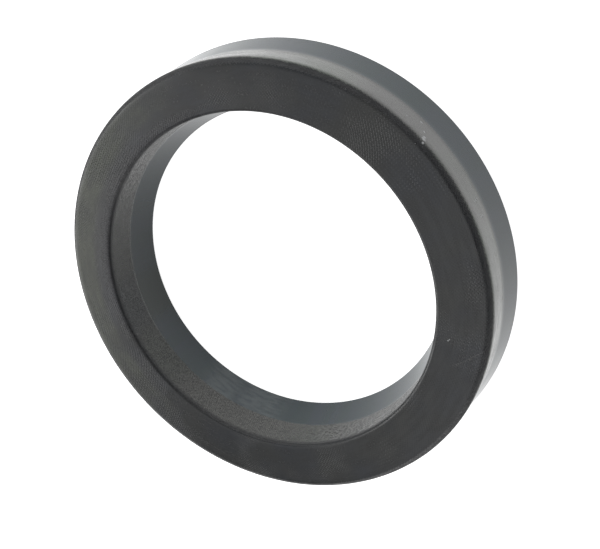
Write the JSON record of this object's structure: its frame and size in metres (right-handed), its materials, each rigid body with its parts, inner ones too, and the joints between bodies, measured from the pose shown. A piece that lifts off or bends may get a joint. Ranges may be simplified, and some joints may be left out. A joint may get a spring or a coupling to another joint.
{
  "type": "u cup seal",
  "caption": "Round U cup seal with a flat fabric-reinforced heel and two flared rubber lips either side of a U groove; seals a hydraulic rod or piston.",
  "frame": {"origin": "on the ring's axis, at the crests of the lips that it lies on", "axes": "+Z along the ring's axis, from the lips to the flat heel face; X and Y are any two radii"},
  "size_m": [0.0926, 0.0926, 0.015],
  "materials": {
    "seal_rubber": "satin black rubber, with a fine woven imprint on the heel and smooth lips"
  },
  "bodies": {
    "root": {"seal_ring": "seal_rubber"}
  },
  "joints": []
}
